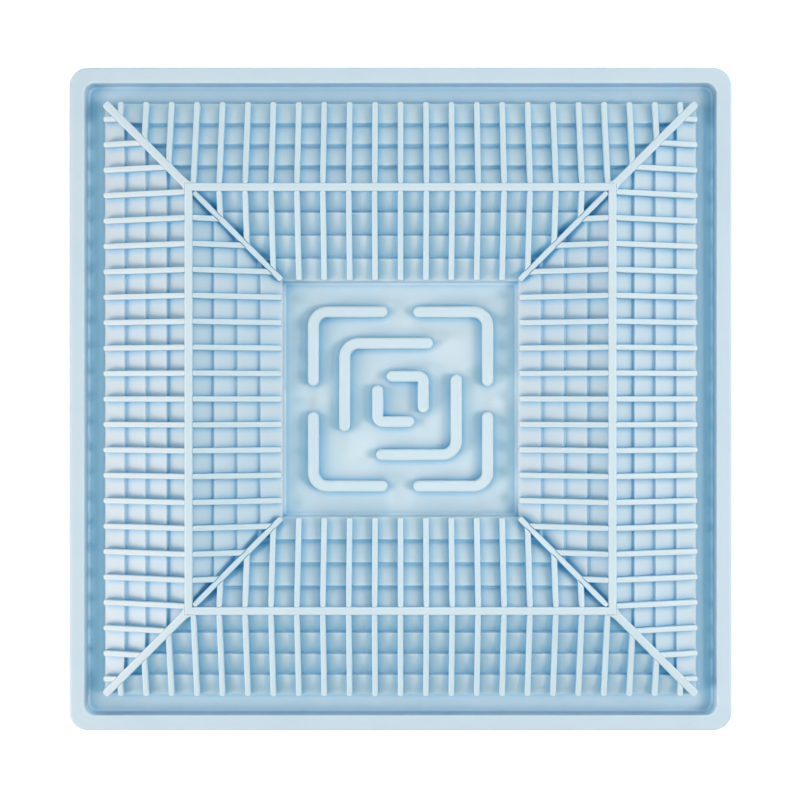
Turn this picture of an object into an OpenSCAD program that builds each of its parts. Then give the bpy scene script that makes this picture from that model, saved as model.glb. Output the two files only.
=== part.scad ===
// Square silicone lick mat: a rim and moat around a raised, ribbed ring, and a sunk centre with L shaped bars.
// Origin: centre of the underside. X runs to the right, Y to the back, Z up.

/* [Mat] */
// Length of each side of the square mat
mat_w = 200; // [190:1:240]
// Plan radius of the mat's outer corners
mat_corner_r = 5.6; // [4.8:0.1:9]
// Thickness of the moat floor and of the centre floor
base_t = 2.4; // [1.8:0.1:4]
// Rounding of the bottom outer edge
base_edge_r = 0.6; // [0.3:0.1:1.2]

/* [Rim] */
// Width of the rim across its top
rim_w = 4.7; // [4:0.1:6.5]
// Height of the rim above the moat floor
rim_h = 4.4; // [3.2:0.1:7]
// Rounding of the rim's outer top edge
rim_edge_r = 0.9; // [0.6:0.1:1.5]
// Rounding of the rim's inner top edge
rim_inner_edge_r = 0.4; // [0.2:0.05:1]
// Lean of the rim's inner wall, from top to foot
rim_lean = 0.25; // [0.1:0.05:0.5]
// Plan radius of the rim's inner corners
rim_inner_corner_r = 3.3; // [2.6:0.1:5]
// Hollow fillet where the rim meets the moat floor
rim_foot_r = 0.8; // [0.4:0.1:1.8]

/* [Ring] */
// Width of the moat between rim and ring
moat_w = 6.2; // [5:0.1:9]
// Plan width of each slope, from lip to ridge
slope_run = 26.7; // [24:0.1:28]
// Height of the ring's lip above the floors
lip_h = 3.6; // [3:0.1:5]
// Climb of a slope from its lip to the ridge
slope_rise = 8.1; // [5:0.1:11]
// Number of tiles up each slope
tile_count = 4; // [3:1:5]
// Drop behind the high edge of each tile
riser_h = 0.9; // [0.5:0.05:1.2]
// Plan width of that drop
riser_run = 0.8; // [0.6:0.05:1.2]
// Shift of the drops towards the ridge, which makes the lowest tile the longest
tile_shift = 0.35; // [0:0.05:0.6]
// Rounding of a tile's high edge and of the lip
tile_edge_r = 0.35; // [0.2:0.05:0.5]
// Lean of the ring's walls, from lip to foot
wall_lean = 0.3; // [0.1:0.05:0.6]
// Hollow fillet where the ring meets the floors
wall_foot_r = 0.8; // [0.4:0.1:1.2]
// Thickness of the walls round the hollow under the ring
ring_wall = 2.2; // [1.8:0.1:3]
// Thickness of the roof over that hollow
ring_roof = 2.2; // [1.8:0.1:2.8]
// Rounding of the corners inside that hollow
hollow_r = 1; // [0.5:0.1:1.5]

/* [Ribs] */
// Spacing of the ribs along each side
rib_pitch = 7.63; // [6:0.01:9]
// Width of a rib
rib_w = 1.7; // [1.3:0.05:2.2]
// Height of a rib above the low end of a tile
rib_h = 2.8; // [2.4:0.05:3.6]
// Rounding of the ribs' top edges
rib_edge_r = 0.45; // [0.2:0.05:0.6]

/* [Ridge and corner ribs] */
// Width of the ridge beam
ridge_w = 2.4; // [1.8:0.1:3]
// Rounding of the ridge beam's top edges
ridge_edge_r = 0.5; // [0.3:0.05:0.85]
// Width of the corner ribs on the outer slopes
outer_hip_w = 2.4; // [2:0.1:3]
// Rounding of the outer corner ribs' top edges
outer_hip_edge_r = 0.5; // [0.3:0.05:0.95]
// Hollow rounding in plan where the outer corner ribs grow out of the ridge beam
hip_root_r = 4.5; // [2:0.5:6]
// Width of the corner ribs on the inner slopes
inner_hip_w = 1.7; // [1.3:0.1:2.4]
// Rounding of the inner corner ribs' top edges
inner_hip_edge_r = 0.4; // [0.2:0.05:0.6]
// Gap between the inner corner ribs' high ends and the corners of the ridge beam
inner_hip_gap = 0.45; // [0.2:0.05:0.8]

/* [Centre bars] */
// Width of each L shaped bar
bar_w = 3.4; // [3:0.1:3.8]
// Height of the bars above the centre floor
bar_h = 3.2; // [2.4:0.1:4]
// Rounding of the bars' top edges
bar_edge_r = 0.9; // [0.6:0.1:1.4]
// Distance from the middle to the line of the two core bars
core_bar_line = 6.9; // [6:0.1:7.2]
// Distance from the core bars' line to the middle bars' line
middle_bar_step = 10; // [8:0.1:12]
// Distance from the middle bars' line to the outer bars' line
outer_bar_step = 9.5; // [8:0.1:10]
// Bend radius of the middle and outer bars, on their line
bar_bend_r = 4.3; // [3:0.1:6]
// Radius of the core bars' square looking inner corner
core_inner_r = 0.1; // [0.1:0.1:2]
// Distance that the core bars run past the middle
core_bar_reach = 4.2; // [2:0.1:5]
// Distance that the long middle bar runs past the middle
long_bar_reach = 9.8; // [6:0.1:10]
// Distance that the short middle bar runs past the middle
short_bar_reach = 7.4; // [4:0.1:8]
// Distance from the middle to the tips of the outer bars
outer_bar_gap = 3.9; // [2:0.1:8]

/* [Hidden] */
$fn = 48;

// Steps in each rounded corner of a profile
arc_steps = 5;
// Rounding of a rib's nose in side view, as a share of its width
nose_share = 0.4;
// Plan rounding of a rib's ends, as shares of its width: nearly round, and nearly square
round_end_share = 0.45;
square_end_share = 0.25;
// Height of a rib's side outline above its top, as a share of its width
headroom_share = 0.1;
// Drop of the outer corner ribs' roots below their tops, as a share of their edge rounding
root_drop_share = 0.4;
// Reach of those roots to either side, as a share of the corner ribs' width
root_reach_share = 1.5;
// Least length of the last rib beside a corner rib, as a share of its width
end_rib_share = 1.5;
// Overrun of cutting solids
over = 1;
// Colours of the silicone: exposed tops, and the floors that lie in shade
tone_top = "#d3e4ec";
tone_floor = "#b9d3e1";

// Half widths in plan, from the middle of the mat outwards
mat_half = mat_w / 2;
moat_outer = mat_half - rim_w;
ring_half = moat_outer - moat_w;
ridge_half = ring_half - slope_run;
centre_half = ridge_half - slope_run;
ring_foot = ring_half + wall_lean;
centre_foot = centre_half - wall_lean;
middle_bar_line = core_bar_line + middle_bar_step;
outer_bar_line = middle_bar_line + outer_bar_step;

// Heights
rim_top = base_t + rim_h;
lip_z = base_t + lip_h;
rib_end_top = lip_z + rib_h;
ridge_top = rib_end_top + slope_rise;

// The tiles: each climbs to a high edge, then drops by one riser to the low end of the next
tile_run = slope_run / tile_count;
tile_step = slope_rise / tile_count;
tile_slope = (tile_step + riser_h) / (tile_run - riser_run);
land_s = slope_run - ridge_w / 2;
land_z = lip_z + slope_rise - tile_step + tile_slope * (land_s - slope_run + tile_run - tile_shift);

// Slope of the line of rib tops, across a side and along a diagonal
rib_slope = atan(slope_rise / slope_run);
hip_slope = atan(slope_rise / (slope_run * sqrt(2)));

function unit(v) = v / norm(v);
function turned(a) = a > 180 ? a - 360 : a < -180 ? a + 360 : a;

// Points of the arc that rounds corner p, between its neighbours a and b
function corner_arc(p, a, b, r) =
    let (
        to_a = unit(a - p),
        to_b = unit(b - p),
        half = acos(to_a * to_b) / 2,
        c = p + unit(to_a + to_b) * r / sin(half),
        from = p + to_a * r / tan(half) - c,
        to = p + to_b * r / tan(half) - c,
        start = atan2(from.y, from.x),
        sweep = turned(atan2(to.y, to.x) - start)
    )
    [for (i = [0 : arc_steps]) c + r * [cos(start + sweep * i / arc_steps), sin(start + sweep * i / arc_steps)]];

// An open line of [x, y, radius] points with its inner corners rounded
function rounded_line(pts) =
    [for (i = [0 : len(pts) - 1])
        let (p = [pts[i].x, pts[i].y])
        each (i == 0 || i == len(pts) - 1 || pts[i].z == 0) ? [p] :
            corner_arc(p, [pts[i - 1].x, pts[i - 1].y], [pts[i + 1].x, pts[i + 1].y], pts[i].z)];

function reversed(pts) = [for (i = [len(pts) - 1 : -1 : 0]) pts[i]];

// Height of the rib tops at distance s up a slope from its lip
function rib_top(s) = rib_end_top + slope_rise * s / slope_run;

// The surface of one slope as [s, z] points, from the floor outside the lip up to the land under the ridge
tile_line = rounded_line(concat(
    [[-wall_lean - 2 * wall_foot_r, base_t, 0]],
    [[-wall_lean, base_t, wall_foot_r]],
    [[0, lip_z, tile_edge_r]],
    [for (k = [1 : tile_count - 1])
        let (z = lip_z + k * tile_step, s = k * tile_run + tile_shift)
        each [[s - riser_run, z + riser_h, tile_edge_r], [s, z, tile_edge_r]]],
    [[land_s, land_z, 0]]
));
slope_line = [for (i = [1 : len(tile_line) - 1]) tile_line[i]];
rib_floor = [for (p = slope_line) if (p.x >= 0) p];

// The hollow under the ring, as [distance from the middle, z] points
hollow_line = rounded_line([
    [centre_half + ring_wall, 0, 0],
    [centre_half + ring_wall, lip_z + slope_rise * ring_wall / slope_run - ring_roof, hollow_r],
    [ridge_half, lip_z + slope_rise - ring_roof, hollow_r],
    [ring_half - ring_wall, lip_z + slope_rise * ring_wall / slope_run - ring_roof, hollow_r],
    [ring_half - ring_wall, 0, 0]
]);

ring_top_line = concat(
    [[ring_foot, 0], [ring_foot, base_t]],
    [for (p = slope_line) [ring_half - p.x, p.y]],
    reversed([for (p = slope_line) [centre_half + p.x, p.y]]),
    [[centre_foot, base_t], [centre_foot, 0]]
);

// Stands a profile of [distance from the middle, z] up on the right side and runs it along that side
module along_side(half_length) {
    rotate([90, 0, 0])
        linear_extrude(height = 2 * half_length, center = true)
            children();
}

// Turns a piece of the right side to side or corner number i, counted anticlockwise
module at_side(i) {
    rotate([0, 0, 90 * i])
        children();
}

// A square block whose edges have the profile pts, as [distance out from the corner's centre, z]
module edged_block(half, corner_r, pts) {
    reach = half - corner_r;
    low = min([for (p = pts) p.y]);
    high = max([for (p = pts) p.y]);
    outline = concat([[0, low]], pts, [[0, high]]);
    for (i = [0 : 3])
        at_side(i) {
            translate([reach, reach, 0])
                rotate_extrude(angle = 90)
                    polygon(outline);
            along_side(reach)
                translate([reach, 0])
                    polygon(outline);
        }
    translate([-reach, -reach, low])
        cube([2 * reach, 2 * reach, high - low]);
}

// The pocket inside the rim: flared at the top, hollow fillet at the bottom
module rim_pocket() {
    r = rim_inner_corner_r;
    edged_block(moat_outer, r, rounded_line([
        [0, base_t, 0],
        [r - rim_lean, base_t, rim_foot_r],
        [r, rim_top, rim_inner_edge_r],
        [r + 2 * rim_inner_edge_r, rim_top, 0],
        [r + 2 * rim_inner_edge_r, rim_top + over, 0]
    ]));
}

module rim() {
    color(tone_top)
        difference() {
            edged_block(mat_half, mat_corner_r, rounded_line([
                [mat_corner_r, base_t, 0],
                [mat_corner_r, rim_top, rim_edge_r],
                [mat_corner_r - 2 * rim_edge_r, rim_top, 0]
            ]));
            rim_pocket();
        }
}

// Floor of the moat, which also runs under the rim
module moat_floor() {
    color(tone_floor)
        difference() {
            edged_block(mat_half, mat_corner_r, rounded_line([
                [mat_corner_r - 2 * base_edge_r, 0, 0],
                [mat_corner_r, 0, base_edge_r],
                [mat_corner_r, base_t, 0]
            ]));
            translate([-ring_foot, -ring_foot, -over])
                cube([2 * ring_foot, 2 * ring_foot, base_t + 2 * over]);
        }
}

module centre_floor() {
    color(tone_floor)
        translate([-centre_foot, -centre_foot, 0])
            cube([2 * centre_foot, 2 * centre_foot, base_t]);
}

// Plan of the right side between two distances from the middle, mitred to the diagonals less a gap
module side_plan(near, far, gap) {
    polygon([[near, gap - near], [far, gap - far], [far, far - gap], [near, near - gap]]);
}

// One side of the ring: a tiled roof over a hollow, mitred at both corners
module ring_side(i, profile) {
    reach = ring_foot + wall_foot_r;
    at_side(i)
        intersection() {
            along_side(reach)
                polygon(profile);
            linear_extrude(height = ridge_top)
                side_plan(centre_foot - wall_foot_r, reach, 0);
        }
}

module ring_quarter(i) {
    color(tone_floor)
        ring_side(i, concat(ring_top_line, hollow_line));
}

// The square beam along the ridge, which stands on the flat land at the top of the tiles
module ridge_frame() {
    half_w = ridge_w / 2;
    color(tone_top)
        for (i = [0 : 3])
            at_side(i)
                intersection() {
                    along_side(ridge_half + half_w)
                        translate([ridge_half, 0])
                            polygon(rounded_line([
                                [-half_w, land_z, 0],
                                [half_w, land_z, 0],
                                [half_w, ridge_top, ridge_edge_r],
                                [-half_w, ridge_top, ridge_edge_r],
                                [-half_w, land_z, 0]
                            ]));
                    linear_extrude(height = ridge_top + over)
                        side_plan(ridge_half - half_w, ridge_half + half_w, 0);
                }
}

// A swept bar along the X axis, its top edges rounded and the middle of its top on the axis
module topped_bar(w, depth, edge_r, length) {
    half_w = w / 2;
    rotate([90, 0, 90])
        linear_extrude(height = length, center = true)
            polygon(rounded_line([
                [-half_w, -depth, 0],
                [half_w, -depth, 0],
                [half_w, 0, edge_r],
                [-half_w, 0, edge_r],
                [-half_w, -depth, 0]
            ]));
}

// A strip in plan along the X axis between two places, with the corners of each end rounded
module rounded_strip(from, from_r, to, to_r, w) {
    along = sign(to - from);
    from_at = from + along * from_r;
    to_at = to - along * to_r;
    translate([min(from_at, to_at), -w / 2])
        square([abs(to_at - from_at), w]);
    for (end = [[from, from_at, from_r], [to, to_at, to_r]]) {
        translate([min(end[0], end[1]), end[2] - w / 2])
            square([end[2], w - 2 * end[2]]);
        for (side = [-1, 1])
            translate([end[1], side * (w / 2 - end[2])])
                circle(r = end[2]);
    }
}

// Cuts a plan back to what lies outside the ridge beam
module outside_beam() {
    difference() {
        children();
        square(2 * ridge_half + ridge_w, center = true);
    }
}

// Cuts a plan back to what lies inside the ridge beam
module inside_beam() {
    intersection() {
        children();
        square(2 * ridge_half - ridge_w, center = true);
    }
}

// A corner rib on the back right diagonal, with its plan as the child. It climbs outwards where dir is 1 and
// inwards where dir is -1. Its top lies a drop below the line of rib tops, and its underside takes the shape
// of the tiles below.
module hip(dir, tip, w, edge_r, drop) {
    ridge_at = ridge_half * sqrt(2);
    headroom = w * headroom_share;
    tip_top = ridge_top - slope_rise * abs(ridge_at - tip) / (slope_run * sqrt(2));
    difference() {
        intersection() {
            rotate([0, 0, 45])
                translate([ridge_at, 0, ridge_top - drop])
                    rotate([0, -dir * hip_slope, 0])
                        topped_bar(w, ridge_top, edge_r, 4 * slope_run);
            rotate([0, 0, 45])
                along_side(w)
                    polygon(rounded_line([
                        [tip, base_t, 0],
                        [tip, tip_top + headroom, w * nose_share],
                        [ridge_at, ridge_top + headroom, 0],
                        [ridge_at, base_t, 0]
                    ]));
            translate([0, 0, base_t])
                linear_extrude(height = ridge_top)
                    children();
        }
        for (i = [0, 1])
            ring_side(i, ring_top_line);
    }
}

// Plan of the flare with hollow sides where an outer corner rib grows out of the corner of the ridge beam
module hip_root_plan() {
    beam_at = ridge_half + ridge_w / 2;
    corner = [beam_at, beam_at - outer_hip_w / sqrt(2)];
    flare = corner_arc(corner, corner - [0, over], corner + [over, over], hip_root_r);
    polygon(concat([[ridge_half, ridge_half]], flare, [for (p = reversed(flare)) [p.y, p.x]]));
}

module outer_corner_ribs() {
    tip = ring_half * sqrt(2) + outer_hip_w * (1 - sqrt(2)) / 2;
    root_w = 2 * outer_hip_w * root_reach_share;
    color(tone_top)
        for (i = [0 : 3])
            at_side(i) {
                hip(-1, tip, outer_hip_w, outer_hip_edge_r, 0)
                    outside_beam()
                        rotate([0, 0, 45])
                            rounded_strip(
                                tip, outer_hip_w * round_end_share,
                                ridge_half * sqrt(2), outer_hip_edge_r,
                                outer_hip_w
                            );
                hip(-1, tip, root_w, outer_hip_edge_r, outer_hip_edge_r * root_drop_share)
                    outside_beam()
                        hip_root_plan();
            }
}

module inner_corner_ribs() {
    tip = centre_half * sqrt(2);
    high_end = (ridge_half - ridge_w / 2) * sqrt(2) - inner_hip_gap;
    end_r = inner_hip_w * round_end_share;
    color(tone_top)
        for (i = [0 : 3])
            at_side(i)
                hip(1, tip, inner_hip_w, inner_hip_edge_r, 0)
                    inside_beam()
                        rotate([0, 0, 45])
                            rounded_strip(tip, end_r, high_end, end_r, inner_hip_w);
}

// A row of ribs up one slope of side i. The slope's lip is lip_at from the middle, and it climbs outwards
// where dir is 1 and inwards where dir is -1. The ribs run up against the ridge beam, and the row stops a gap
// short of the diagonals.
module rib_row(i, lip_at, dir, gap, tip_share) {
    high_end = lip_at + dir * land_s;
    tip_r = rib_w * tip_share;
    end_r = rib_w * square_end_share;
    count = floor((max(lip_at, high_end) - gap - end_rib_share * rib_w) / rib_pitch);
    ys = [for (k = [-count : count]) k * rib_pitch];
    reach = count * rib_pitch + rib_w;
    headroom = rib_w * headroom_share;
    side_outline = concat(rib_floor, rounded_line([
        [land_s, rib_top(land_s) + headroom, 0],
        [0, rib_end_top + headroom, rib_w * nose_share],
        [0, lip_z, 0]
    ]));
    at_side(i)
        intersection() {
            along_side(reach)
                polygon([for (p = side_outline) [lip_at + dir * p.x, p.y]]);
            linear_extrude(height = ridge_top + over)
                intersection() {
                    side_plan(min(lip_at, high_end), max(lip_at, high_end), gap);
                    for (y = ys)
                        translate([0, y])
                            rounded_strip(lip_at, tip_r, high_end, end_r, rib_w);
                }
            for (y = ys)
                translate([lip_at + dir * slope_run / 2, y, rib_top(slope_run / 2)])
                    rotate([0, -dir * rib_slope, 0])
                        topped_bar(rib_w, ridge_top, rib_edge_r, 2 * slope_run);
        }
}

module outer_ribs(i) {
    color(tone_top)
        rib_row(i, ring_half, -1, outer_hip_w / sqrt(2), round_end_share);
}

module inner_ribs(i) {
    color(tone_top)
        rib_row(i, centre_half, 1, inner_hip_w / sqrt(2), square_end_share);
}

// Half of a bar's cross section, as [distance from its centre line, height]
bar_half_line = rounded_line([
    [bar_w / 2, base_t, 0],
    [bar_w / 2, base_t + bar_h, bar_edge_r],
    [0, base_t + bar_h, 0]
]);

module bar_section() {
    polygon(concat(bar_half_line, reversed([for (p = bar_half_line) [-p.x, p.y]])));
}

// Round end of a bar, which points along -X
module bar_tip() {
    rotate([0, 0, 90])
        rotate_extrude(angle = 180)
            polygon(concat([[0, base_t]], bar_half_line));
}

// An L shaped bar in corner i, counted anticlockwise from the back right one. Its two arms run at the
// distance line from the middle, and their tips lie tip short of the middle, or past it where tip is negative.
module l_bar(i, line, tip, bend_r) {
    tip_at = tip + bar_w / 2;
    bend_at = line - bend_r;
    color(tone_top)
        at_side(i) {
            translate([bend_at, bend_at, 0])
                rotate_extrude(angle = 90)
                    translate([bend_r, 0])
                        bar_section();
            for (arm = [0, 1])
                mirror([arm, -arm, 0]) {
                    translate([tip_at, line, 0])
                        bar_tip();
                    translate([tip_at, line, 0])
                        rotate([90, 0, 90])
                            linear_extrude(height = bend_at - tip_at)
                                bar_section();
                }
        }
}

module outer_bar(i) {
    l_bar(i, outer_bar_line, outer_bar_gap, bar_bend_r);
}

module middle_bar_long() {
    l_bar(1, middle_bar_line, -long_bar_reach, bar_bend_r);
}

module middle_bar_short() {
    l_bar(3, middle_bar_line, -short_bar_reach, bar_bend_r);
}

module core_bar(i) {
    l_bar(i, core_bar_line, -core_bar_reach, bar_w / 2 + core_inner_r);
}

moat_floor();
rim();
centre_floor();
ring_quarter(0);  // ring_right
ring_quarter(1);  // ring_back
ring_quarter(2);  // ring_left
ring_quarter(3);  // ring_front
ridge_frame();
outer_corner_ribs();
inner_corner_ribs();
outer_ribs(0);  // outer_ribs_right
outer_ribs(1);  // outer_ribs_back
outer_ribs(2);  // outer_ribs_left
outer_ribs(3);  // outer_ribs_front
inner_ribs(0);  // inner_ribs_right
inner_ribs(1);  // inner_ribs_back
inner_ribs(2);  // inner_ribs_left
inner_ribs(3);  // inner_ribs_front
outer_bar(0);  // outer_bar_back_right
outer_bar(1);  // outer_bar_back_left
outer_bar(2);  // outer_bar_front_left
outer_bar(3);  // outer_bar_front_right
middle_bar_long();
middle_bar_short();
core_bar(0);  // core_bar_back_right
core_bar(2);  // core_bar_front_left
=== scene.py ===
import math

import bpy
from bpy.props import FloatProperty, FloatVectorProperty, PointerProperty
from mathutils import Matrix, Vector

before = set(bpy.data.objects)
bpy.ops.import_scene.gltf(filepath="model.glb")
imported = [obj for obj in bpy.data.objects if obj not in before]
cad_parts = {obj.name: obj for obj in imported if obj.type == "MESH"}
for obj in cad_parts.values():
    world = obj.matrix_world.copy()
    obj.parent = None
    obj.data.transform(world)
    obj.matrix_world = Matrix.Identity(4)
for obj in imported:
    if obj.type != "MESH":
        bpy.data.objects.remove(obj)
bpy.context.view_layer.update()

bl_info = {
    "name": "Square lick mat",
    "version": (1, 0, 0),
    "blender": (4, 5, 0),
    "location": "View3D > Sidebar > Lick mat",
    "description": "Dresses the square silicone lick mat and lights it for its portrait",
    "category": "Object",
}

MM = 0.001

# Finish of the silicone, with its painted shade and painted highlights. Openness runs from 0, shut in, to
# 1, open all round

INDEX_OF_REFRACTION = 1.41
# How far red, green and blue light travel inside, as shares of the scatter reach
SCATTER_SHARES = (0.2, 0.65, 1.0)
# Samples behind each value of openness
OPENNESS_SAMPLES = 2
# Openness from which a place is free of painted shade and has its exposed colour
FULLY_OPEN = 0.7
# Clouds in the painted shade: patches per metre, and how far they shift the openness either way
CLOUD_SCALE = 55.0
CLOUD_DRIFT = 0.12
# Painted shade in the creases: openness at the deepest and at the end, and the share of exposed colour
# kept at the deepest
CREASE_RANGE = (0.2, 0.9)
CREASE_SHADE_SHARE = 0.15
# Painted highlights on edges: openness of the inside where they start and where they are palest, and how
# pale that is
EDGE_RANGE = (1.0, 0.75)
EDGE_HIGHLIGHT_STRENGTH = 0.45
# Power of the openness that keeps painted highlights out of the cells
OPEN_HIGHLIGHT_POWER = 4.0
# Fine grain and soft waves: bumps per metre and strength, and the waves' height
GRAIN_SCALE = 4500.0
GRAIN_STRENGTH = 0.35
WAVE_SCALE = 160.0
WAVE_STRENGTH = 0.25
WAVE_HEIGHT = 0.1 * MM
# How far the waves shift the roughness either way
ROUGHNESS_DRIFT = 0.06

# Stage

FLOOR_SIZE = 6.0
# Gap that keeps the floor clear of the mat's underside
FLOOR_DROP = 0.02 * MM
PAPER_TONES = (0.93, 0.97)
PAPER_ROUGHNESS = 0.9
PAPER_GLOSS = 0.1
FIBRE_SCALE = 400.0
# White added for the camera: its level by the mat, and the distances from the middle where it starts to
# grow and where it is full
NEAR_LIFT = 0.35
SHADOW_RADIUS = 0.25
WHITE_RADIUS = 0.7
ROOM_COLOUR = (0.3, 0.8, 1, 1)
WHITE = (1, 1, 1, 1)
LAMP_DISTANCE = 0.75
LAMP_SIZE = 0.26
SENSOR_WIDTH = 36
NEAR_CLIP = 0.01


# Sizes and colours

class SiliconeLook(bpy.types.PropertyGroup):
    """Colour, with its painted shade and highlights, and surface of the moulded silicone"""

    top_colour: FloatVectorProperty(
        name="Exposed colour", description="Colour of the rib tops, bars and other exposed surfaces",
        subtype="COLOR", size=3, min=0, max=1, default=(0.695, 0.75, 0.825))
    # Painted shade: the rim's exposed colour is set darker than that of the rest of the mat
    rim_shaded_colour: FloatVectorProperty(
        name="Rim colour", description="Exposed colour of the rim, which is thicker and slightly darker",
        subtype="COLOR", size=3, min=0, max=1, default=(0.64, 0.70, 0.79))
    # Painted shade: the colour put deep in the cells and in the creases
    painted_shade_colour: FloatVectorProperty(
        name="Deep colour", description="Colour deep in the cells and in the creases",
        subtype="COLOR", size=3, min=0, max=1, default=(0.0, 0.34, 0.62))
    # Painted highlight: the paler colour put on sharp thin edges of open places
    edge_highlight_colour: FloatVectorProperty(
        name="Edge colour", description="Colour of sharp edges, where light comes in from both sides",
        subtype="COLOR", size=3, min=0, max=1, default=(0.90, 0.95, 0.98))
    # Painted highlight: thickness below which an edge gets it
    edge_highlight_reach: FloatProperty(
        name="Edge reach", description="Thickness below which an edge turns paler",
        subtype="DISTANCE", unit="LENGTH", min=0.1 * MM, max=3 * MM, default=0.8 * MM)
    # Painted shade: how near walls and creases deepen the colour
    hollow_shade_reach: FloatProperty(
        name="Hollow reach", description="How near walls have to stand to deepen the colour between them",
        subtype="DISTANCE", unit="LENGTH", min=1 * MM, max=30 * MM, default=8 * MM)
    crease_shade_reach: FloatProperty(
        name="Crease reach", description="Width of the deeper colour along the foot of each rib and step",
        subtype="DISTANCE", unit="LENGTH", min=0.2 * MM, max=5 * MM, default=2 * MM)
    roughness: FloatProperty(
        name="Roughness", description="Roughness of the fine matt finish left by the mould",
        min=0.2, max=0.9, default=0.5)
    scatter: FloatProperty(
        name="Scatter", description="Share of the light that enters the silicone and comes out again",
        min=0, max=1, default=0.1)
    scatter_reach: FloatProperty(
        name="Scatter reach",
        description="How far blue light travels inside the silicone. Red travels a fifth as far",
        subtype="DISTANCE", unit="LENGTH", min=0, max=20 * MM, default=4 * MM)
    grain: FloatProperty(
        name="Grain", description="Height of the fine mould texture",
        subtype="DISTANCE", unit="LENGTH", min=0, max=0.2 * MM, default=0.02 * MM)


class StageLook(bpy.types.PropertyGroup):
    """Floor, lights and camera"""

    camera_height: FloatProperty(
        name="Camera height", description="Height of the camera above the surface that the mat lies on",
        subtype="DISTANCE", unit="LENGTH", min=0.2, max=2, default=0.42)
    camera_back: FloatProperty(
        name="Camera setback", description="Distance of the camera to the front of the mat's middle",
        subtype="DISTANCE", unit="LENGTH", min=-0.01, max=0.01, default=0.3 * MM)
    camera_side: FloatProperty(
        name="Camera shift", description="Distance of the camera to the left of the mat's middle",
        subtype="DISTANCE", unit="LENGTH", min=-0.01, max=0.01, default=0.15 * MM)
    lens: FloatProperty(
        name="Lens", description="Focal length on a 36 mm sensor, in millimetres",
        min=20, max=200, default=61.7)
    left_power: FloatProperty(
        name="Left light", description="Power of the low light to the left and front",
        subtype="POWER", unit="POWER", min=0, max=100, default=3.0)
    left_high_power: FloatProperty(
        name="High left light", description="Power of the light high up to the left",
        subtype="POWER", unit="POWER", min=0, max=100, default=1.7)
    right_power: FloatProperty(
        name="Right light", description="Power of the low light to the right",
        subtype="POWER", unit="POWER", min=0, max=100, default=1.2)
    right_high_power: FloatProperty(
        name="High right light", description="Power of the light high up to the right",
        subtype="POWER", unit="POWER", min=0, max=100, default=2.9)
    back_power: FloatProperty(
        name="Back light", description="Power of the low light behind the mat",
        subtype="POWER", unit="POWER", min=0, max=100, default=1.5)
    front_power: FloatProperty(
        name="Front light", description="Power of the weak light in front of the mat",
        subtype="POWER", unit="POWER", min=0, max=100, default=0.8)
    top_power: FloatProperty(
        name="Top light", description="Power of the light straight above the mat",
        subtype="POWER", unit="POWER", min=0, max=100, default=1.25)
    key_colour: FloatVectorProperty(
        name="Main light colour", description="Colour of both left lights and of the high right light",
        subtype="COLOR", size=3, min=0, max=1, default=(1, 0.83, 0.72))
    side_colour: FloatVectorProperty(
        name="Side light colour", description="Colour of the low right light and of the back light",
        subtype="COLOR", size=3, min=0, max=1, default=(0.85, 1, 1))
    fill_colour: FloatVectorProperty(
        name="Fill light colour", description="Colour of the top light and of the front light",
        subtype="COLOR", size=3, min=0, max=1, default=(0.28, 0.83, 0.98))
    room_level: FloatProperty(
        name="Room level", description="Strength of the even light from all round",
        min=0, max=2, default=0.05)


# Materials

def add_node(tree, kind, at, **values):
    """Adds a shader node and sets its properties and, by name, the values of its inputs"""
    made = tree.nodes.new(kind)
    made.location = at
    for key, value in values.items():
        if key in made.inputs:
            made.inputs[key].default_value = value
        else:
            setattr(made, key, value)
    return made


def ranged(tree, at, value, old=(0, 1), new=(0, 1), **values):
    """Maps a value from an old range onto a new one, and gives the result"""
    made = add_node(tree, "ShaderNodeMapRange", at, **values)
    for name, level in zip(("From Min", "From Max", "To Min", "To Max"), (*old, *new)):
        made.inputs[name].default_value = level
    tree.links.new(value, made.inputs["Value"])
    return made.outputs["Result"]


def noise(tree, at, place, **values):
    """A noise pattern that is fixed to the piece"""
    made = add_node(tree, "ShaderNodeTexNoise", at, **values)
    tree.links.new(place, made.inputs["Vector"])
    return made.outputs["Fac"]


def combined(tree, at, kind, first, second, **values):
    """Adds or multiplies two values"""
    made = add_node(tree, "ShaderNodeMath", at, operation=kind, **values)
    tree.links.new(first, made.inputs[0])
    tree.links.new(second, made.inputs[1])
    return made.outputs["Value"]


def blended(tree, at, share):
    """A mix of two colours by a share between 0 and 1"""
    made = add_node(tree, "ShaderNodeMix", at, data_type="RGBA")
    tree.links.new(share, made.inputs["Factor"])
    return made


def openness(tree, at, reach, **values):
    """How open a place is within a reach, from 0 to 1"""
    made = add_node(tree, "ShaderNodeAmbientOcclusion", at,
                    samples=OPENNESS_SAMPLES, Distance=reach, **values)
    return made.outputs["AO"]


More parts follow.
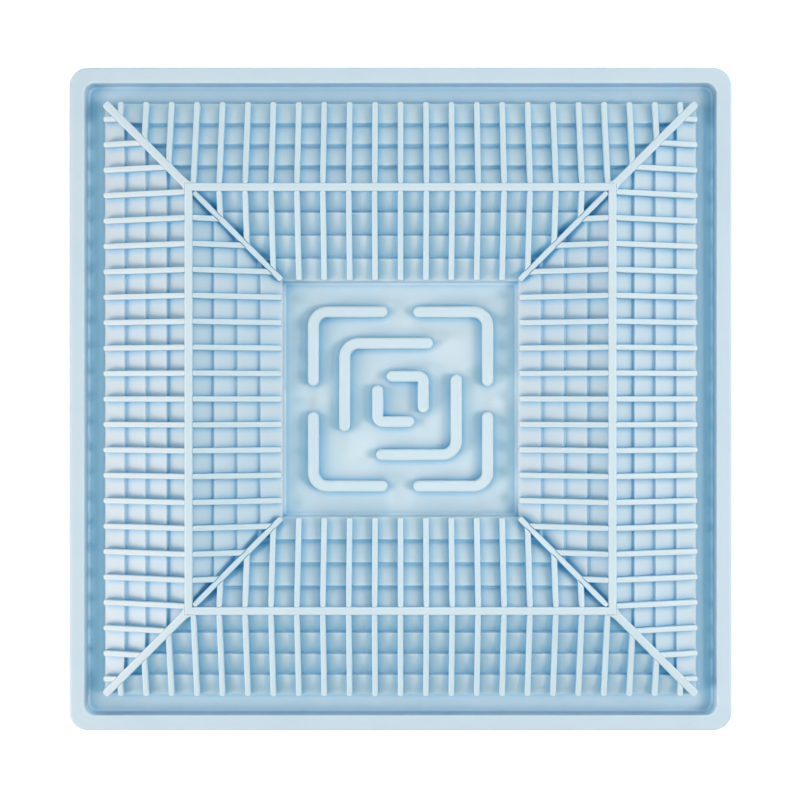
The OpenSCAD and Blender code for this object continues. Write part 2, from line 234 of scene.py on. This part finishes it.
def silicone_colour(tree, look, top_colour, place):
    """Painted shade, a deeper colour in the cells and creases, and painted highlights, a paler colour on
    thin edges of open places
    """
    # Painted shade: the deep colour where walls stand near and in the creases at the foot of ribs and
    # steps
    hollow = openness(tree, (-1400, 250), look.hollow_shade_reach)
    shaped = ranged(tree, (-1200, 250), hollow, old=(0, FULLY_OPEN), interpolation_type="SMOOTHSTEP")
    clouds = noise(tree, (-1200, 0), place, Scale=CLOUD_SCALE, Detail=3.0, Roughness=0.55)
    drift = ranged(tree, (-1000, 0), clouds, new=(-CLOUD_DRIFT, CLOUD_DRIFT))
    exposed = combined(tree, (-800, 200), "ADD", shaped, drift, use_clamp=True)
    crease = openness(tree, (-1400, -200), look.crease_shade_reach)
    crease_shade = ranged(tree, (-1200, -150), crease, old=CREASE_RANGE, new=(CREASE_SHADE_SHARE, 1))
    in_crease = combined(tree, (-700, 50), "MULTIPLY", exposed, crease_shade)
    # Mix of the painted shade colour and the exposed colour
    painted_shade = blended(tree, (-600, 200), in_crease)
    painted_shade.inputs["A"].default_value = (*look.painted_shade_colour, 1)
    painted_shade.inputs["B"].default_value = (*top_colour, 1)

    # Painted highlight: paler colour on thin edges of open places
    thin = openness(tree, (-1000, 500), look.edge_highlight_reach, inside=True, only_local=True)
    edge = ranged(tree, (-800, 500), thin, old=EDGE_RANGE, new=(0, EDGE_HIGHLIGHT_STRENGTH))
    open_part = add_node(tree, "ShaderNodeMath", (-800, 700), operation="POWER")
    open_part.inputs[1].default_value = OPEN_HIGHLIGHT_POWER
    tree.links.new(shaped, open_part.inputs[0])
    open_edge_highlight = combined(tree, (-600, 600), "MULTIPLY", open_part.outputs["Value"], edge)
    paler = blended(tree, (-400, 300), open_edge_highlight)
    paler.inputs["B"].default_value = (*look.edge_highlight_colour, 1)
    tree.links.new(painted_shade.outputs["Result"], paler.inputs["A"])
    return paler.outputs["Result"]


def silicone_material(look, name, top_colour):
    """Pale silicone with painted shade and highlights in its colour, and the fine matt finish, grain and
    soft waves that a mould leaves
    """
    made = bpy.data.materials.new(name)
    made.use_nodes = True
    tree = made.node_tree
    link = tree.links.new
    skin = tree.nodes["Principled BSDF"]
    skin.inputs["IOR"].default_value = INDEX_OF_REFRACTION
    skin.inputs["Subsurface Weight"].default_value = look.scatter
    skin.inputs["Subsurface Scale"].default_value = look.scatter_reach
    skin.inputs["Subsurface Radius"].default_value = SCATTER_SHARES
    place = add_node(tree, "ShaderNodeTexCoord", (-1600, 0)).outputs["Object"]
    # The base colour carries the painted shade and painted highlights
    link(silicone_colour(tree, look, top_colour, place), skin.inputs["Base Color"])

    grain = noise(tree, (-1200, -300), place, Scale=GRAIN_SCALE, Detail=2.0, Roughness=0.6)
    waves = noise(tree, (-1200, -550), place, Scale=WAVE_SCALE, Detail=2.0, Roughness=0.5)
    matt = (look.roughness - ROUGHNESS_DRIFT, look.roughness + ROUGHNESS_DRIFT)
    link(ranged(tree, (-800, -150), waves, new=matt), skin.inputs["Roughness"])
    soft = add_node(tree, "ShaderNodeBump", (-700, -500), Strength=WAVE_STRENGTH, Distance=WAVE_HEIGHT)
    fine = add_node(tree, "ShaderNodeBump", (-500, -300), Strength=GRAIN_STRENGTH, Distance=look.grain)
    link(waves, soft.inputs["Height"])
    link(grain, fine.inputs["Height"])
    link(soft.outputs["Normal"], fine.inputs["Normal"])
    link(fine.outputs["Normal"], skin.inputs["Normal"])
    return made


def floor_material():
    """White paper that keeps the mat's shadow and, to the camera, fades to pure white further off"""
    made = bpy.data.materials.new("white_paper")
    made.use_nodes = True
    tree = made.node_tree
    link = tree.links.new
    paper = tree.nodes["Principled BSDF"]
    paper.inputs["Roughness"].default_value = PAPER_ROUGHNESS
    paper.inputs["Specular IOR Level"].default_value = PAPER_GLOSS
    place = add_node(tree, "ShaderNodeTexCoord", (-1000, 0)).outputs["Object"]
    fibres = noise(tree, (-800, 0), place, Scale=FIBRE_SCALE, Detail=4.0)
    link(ranged(tree, (-600, 0), fibres, new=PAPER_TONES), paper.inputs["Base Color"])

    away = add_node(tree, "ShaderNodeVectorMath", (-800, -500), operation="LENGTH")
    link(place, away.inputs[0])
    fade = ranged(tree, (-600, -500), away.outputs["Value"],
                  old=(SHADOW_RADIUS, WHITE_RADIUS), new=(NEAR_LIFT, 1))
    rays = add_node(tree, "ShaderNodeLightPath", (-600, -300))
    glow = add_node(tree, "ShaderNodeEmission", (-200, -300))
    lift = combined(tree, (-400, -300), "MULTIPLY", rays.outputs["Is Camera Ray"], fade)
    both = add_node(tree, "ShaderNodeAddShader", (100, 0))
    link(lift, glow.inputs["Strength"])
    link(paper.outputs["BSDF"], both.inputs[0])
    link(glow.outputs["Emission"], both.inputs[1])
    link(both.outputs["Shader"], tree.nodes["Material Output"].inputs["Surface"])
    return made


def studio_room(level):
    """Weak bluish light from all round, which shows as plain white to the camera"""
    made = bpy.data.worlds.new("studio_room")
    made.use_nodes = True
    tree = made.node_tree
    link = tree.links.new
    air = tree.nodes["Background"]
    air.inputs["Color"].default_value = ROOM_COLOUR
    air.inputs["Strength"].default_value = level
    rays = add_node(tree, "ShaderNodeLightPath", (-200, 400))
    wall = add_node(tree, "ShaderNodeBackground", (0, -200), Color=WHITE, Strength=1.0)
    seen = add_node(tree, "ShaderNodeMixShader", (300, 100))
    link(rays.outputs["Is Camera Ray"], seen.inputs[0])
    link(air.outputs["Background"], seen.inputs[1])
    link(wall.outputs["Background"], seen.inputs[2])
    link(seen.outputs["Shader"], tree.nodes["World Output"].inputs["Surface"])
    return made


# Operators

def none_selected():
    """Object mode with nothing selected"""
    if bpy.context.object and bpy.context.object.mode != "OBJECT":
        bpy.ops.object.mode_set(mode="OBJECT")
    bpy.ops.object.select_all(action="DESELECT")


class LICKMAT_OT_silicone(bpy.types.Operator):
    """Gives every moulded feature of the mat its silicone"""

    bl_idname = "lickmat.silicone"
    bl_label = "Finish the moulding"

    def execute(self, context):
        look = context.scene.lickmat_silicone
        thin = silicone_material(look, "moulded_silicone", look.top_colour)
        # The rim gets a copy of the silicone with a darker exposed colour, painted shade
        rim_shaded = silicone_material(look, "rim_shaded_silicone", look.rim_shaded_colour)
        for name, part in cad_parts.items():
            for slot in part.material_slots:
                slot.material = rim_shaded if name == "rim" else thin
        return {"FINISHED"}


class LICKMAT_OT_stage(bpy.types.Operator):
    """Lays the white floor and sets the lights and the camera"""

    bl_idname = "lickmat.stage"
    bl_label = "Set the stage"

    def execute(self, context):
        look = context.scene.lickmat_stage
        none_selected()
        bpy.ops.mesh.primitive_plane_add(size=FLOOR_SIZE, location=(0, 0, -FLOOR_DROP))
        floor = context.object
        floor.name = "floor"
        floor.data.materials.append(floor_material())
        bpy.ops.object.transform_apply(location=True, rotation=True, scale=True)

        context.scene.world = studio_room(look.room_level)
        soft_light("left_light", look.left_power, look.key_colour, azimuth=205, elevation=20)
        soft_light("high_left_light", look.left_high_power, look.key_colour, azimuth=175, elevation=42)
        soft_light("right_light", look.right_power, look.side_colour, azimuth=16, elevation=22)
        soft_light("high_right_light", look.right_high_power, look.key_colour, azimuth=350, elevation=42)
        soft_light("back_light", look.back_power, look.side_colour, azimuth=90, elevation=20)
        soft_light("front_light", look.front_power, look.fill_colour, azimuth=270, elevation=42)
        soft_light("top_light", look.top_power, look.fill_colour, azimuth=0, elevation=90)

        bpy.ops.object.camera_add(location=(-look.camera_side, -look.camera_back, look.camera_height),
                                  rotation=(0, 0, 0))
        camera = context.object
        camera.name = "portrait_camera"
        camera.data.lens = look.lens
        camera.data.sensor_width = SENSOR_WIDTH
        camera.data.clip_start = NEAR_CLIP
        context.scene.camera = camera
        context.scene.view_settings.view_transform = "Standard"
        return {"FINISHED"}


def soft_light(name, power, colour, azimuth, elevation):
    """A soft light that looks at the mat. Azimuth is counted from +X towards +Y, in degrees"""
    turn, lift = math.radians(azimuth), math.radians(elevation)
    way = Vector((math.cos(turn) * math.cos(lift), math.sin(turn) * math.cos(lift), math.sin(lift)))
    place = way * LAMP_DISTANCE
    bpy.ops.object.light_add(type="AREA", location=place,
                             rotation=(-place).to_track_quat("-Z", "Y").to_euler())
    lamp = bpy.context.object
    lamp.name = name
    lamp.data.shape = "SQUARE"
    lamp.data.size = LAMP_SIZE
    lamp.data.energy = power
    lamp.data.color = colour


class LICKMAT_PT_panel(bpy.types.Panel):
    """Lists the steps and the values that they use"""

    bl_label = "Lick mat"
    bl_idname = "LICKMAT_PT_panel"
    bl_space_type = "VIEW_3D"
    bl_region_type = "UI"
    bl_category = "Lick mat"

    def draw(self, context):
        for group, step in PANEL_ROWS:
            box = self.layout.box()
            values = getattr(context.scene, group)
            for name in values.bl_rna.properties.keys():
                if name not in ("rna_type", "name"):
                    box.prop(values, name)
            box.operator(step)


PANEL_ROWS = (
    ("lickmat_silicone", "lickmat.silicone"),
    ("lickmat_stage", "lickmat.stage"),
)
CLASSES = (SiliconeLook, StageLook, LICKMAT_OT_silicone, LICKMAT_OT_stage, LICKMAT_PT_panel)


def register():
    for made in CLASSES:
        bpy.utils.register_class(made)
    bpy.types.Scene.lickmat_silicone = PointerProperty(type=SiliconeLook)
    bpy.types.Scene.lickmat_stage = PointerProperty(type=StageLook)


def unregister():
    del bpy.types.Scene.lickmat_stage
    del bpy.types.Scene.lickmat_silicone
    for made in reversed(CLASSES):
        bpy.utils.unregister_class(made)


def main():
    register()
    bpy.ops.lickmat.silicone()
    bpy.ops.lickmat.stage()


if __name__ == "__main__":
    main()
